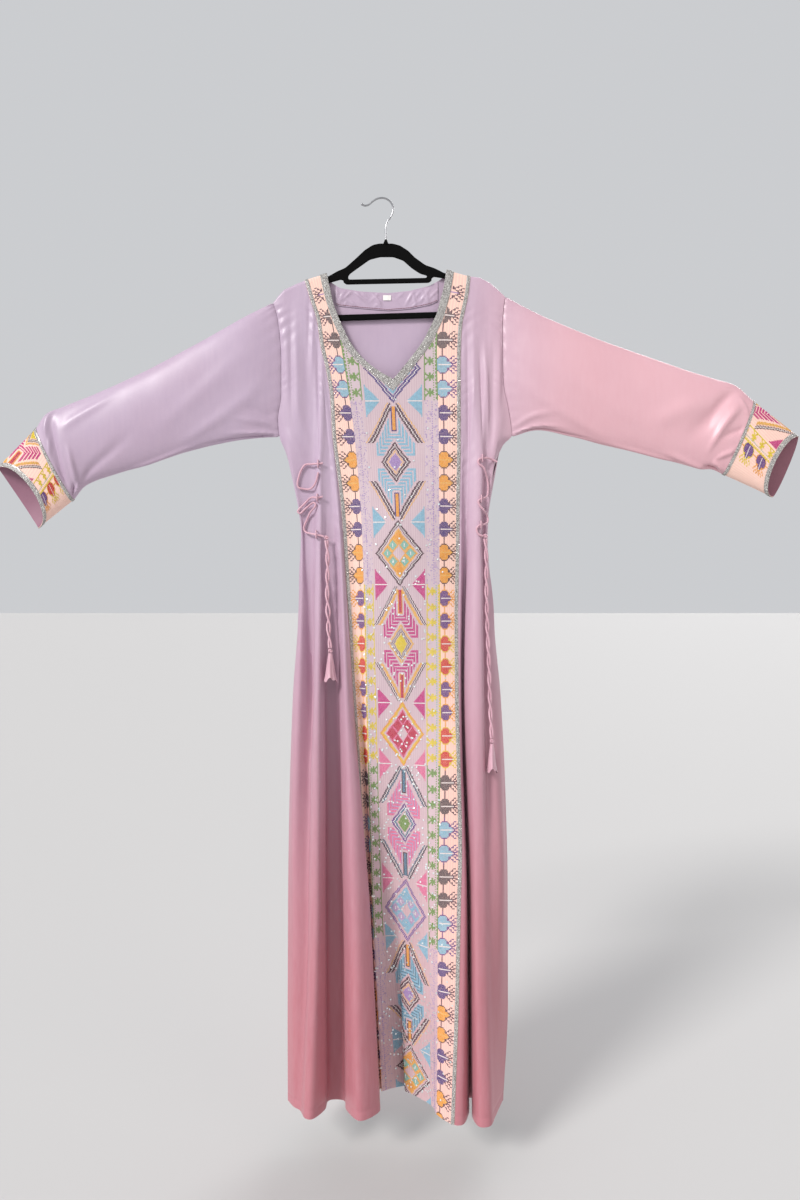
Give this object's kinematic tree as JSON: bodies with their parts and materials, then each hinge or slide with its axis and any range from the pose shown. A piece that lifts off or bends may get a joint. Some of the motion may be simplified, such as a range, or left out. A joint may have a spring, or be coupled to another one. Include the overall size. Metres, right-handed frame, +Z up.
{
  "type": "jalabiya on a hanger",
  "caption": "Long-sleeved satin jalabiya with an embroidered centre panel, cuffs and side lacing, hanging open on a slim hanger.",
  "frame": {"origin": "inner crown of the hanger's hook, where the peg touches it", "axes": "+Z up, -Y the garment's front, +X towards the viewer's right"},
  "size_m": [1.3923, 0.1488, 1.5615],
  "materials": {
    "dusty_rose_satin": "crinkled heavy satin, dusty rose",
    "embroidered_cotton": "striped peach cotton covered in cross stitch, with sequins on the panel",
    "silver_glitter_braid": "woven silver glitter braid",
    "satin_cord": "satin cord and folded satin",
    "label_tape": "plain woven tape",
    "black_flock": "black flocked plastic",
    "chrome_wire": "polished steel wire"
  },
  "bodies": {
    "root": {"back": "dusty_rose_satin", "back_neck_facing": "dusty_rose_satin", "centre_panel": "embroidered_cotton", "cuff_edge_braid_left": "silver_glitter_braid", "cuff_edge_braid_right": "silver_glitter_braid", "cuff_left": "embroidered_cotton", "cuff_right": "embroidered_cotton", "cuff_seam_braid_left": "silver_glitter_braid", "cuff_seam_braid_right": "silver_glitter_braid", "front_side_left": "dusty_rose_satin", "front_side_right": "dusty_rose_satin", "hanger_body": "black_flock", "hanger_hook": "chrome_wire", "lace_knot_left": "satin_cord", "lace_knot_right": "satin_cord", "lace_left_lower": "satin_cord", "lace_left_upper": "satin_cord", "lace_loop_left_1": "satin_cord", "lace_loop_left_2": "satin_cord", "lace_loop_left_3": "satin_cord", "lace_loop_right_1": "satin_cord", "lace_loop_right_2": "satin_cord", "lace_loop_right_3": "satin_cord", "lace_right": "satin_cord", "lace_tail_left_a": "satin_cord", "lace_tail_left_b": "satin_cord", "lace_tail_right_a": "satin_cord", "lace_tail_right_b": "satin_cord", "neck_band": "silver_glitter_braid", "neck_label": "label_tape", "panel_braid_left": "silver_glitter_braid", "panel_braid_right": "silver_glitter_braid", "sleeve_left": "dusty_rose_satin", "sleeve_right": "dusty_rose_satin", "tassel_knot_left": "satin_cord", "tassel_knot_right": "satin_cord", "tassel_left": "satin_cord", "tassel_right": "satin_cord"}
  },
  "joints": []
}
